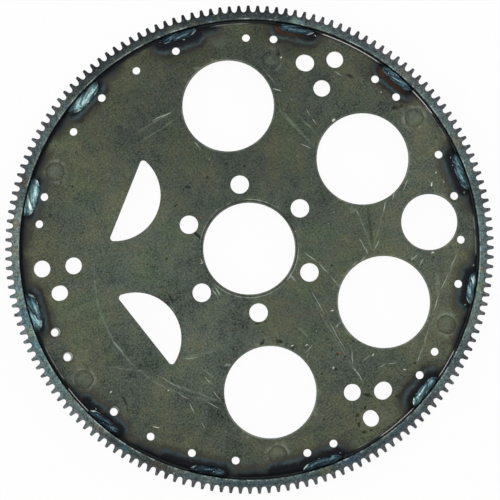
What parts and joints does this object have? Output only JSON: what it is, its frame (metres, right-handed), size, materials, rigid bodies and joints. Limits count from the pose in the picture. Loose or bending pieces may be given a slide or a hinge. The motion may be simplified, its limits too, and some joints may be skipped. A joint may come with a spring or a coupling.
{
  "type": "flexplate",
  "caption": "Pressed steel flexplate: a flat punched disc with a turned-down rim, a toothed starter ring round it and weld beads along the joint.",
  "frame": {"origin": "centre of the pilot bore, on the plane of the ring gear's back face that the part lies on", "axes": "+Z along the bore axis out of the welded face; +X through the middle-sized hole"},
  "size_m": [0.3422, 0.3422, 0.0105],
  "materials": {
    "plate_steel": "oiled hot-rolled sheet, dull olive grey with scratches, specks and a dark heated band at the rim",
    "ring_steel": "turned and hardened steel, dark blue grey with blue and straw temper colours",
    "weld_metal": "as-laid weld metal, glossy dark teal"
  },
  "bodies": {
    "root": {"pressed_plate": "plate_steel", "ring_gear": "ring_steel", "weld_bead_01": "weld_metal", "weld_bead_02": "weld_metal", "weld_bead_03": "weld_metal", "weld_bead_04": "weld_metal", "weld_bead_05": "weld_metal", "weld_bead_06": "weld_metal", "weld_bead_07": "weld_metal", "weld_bead_08": "weld_metal", "weld_bead_09": "weld_metal", "weld_bead_10": "weld_metal", "weld_bead_11": "weld_metal", "weld_bead_12": "weld_metal"}
  },
  "joints": []
}
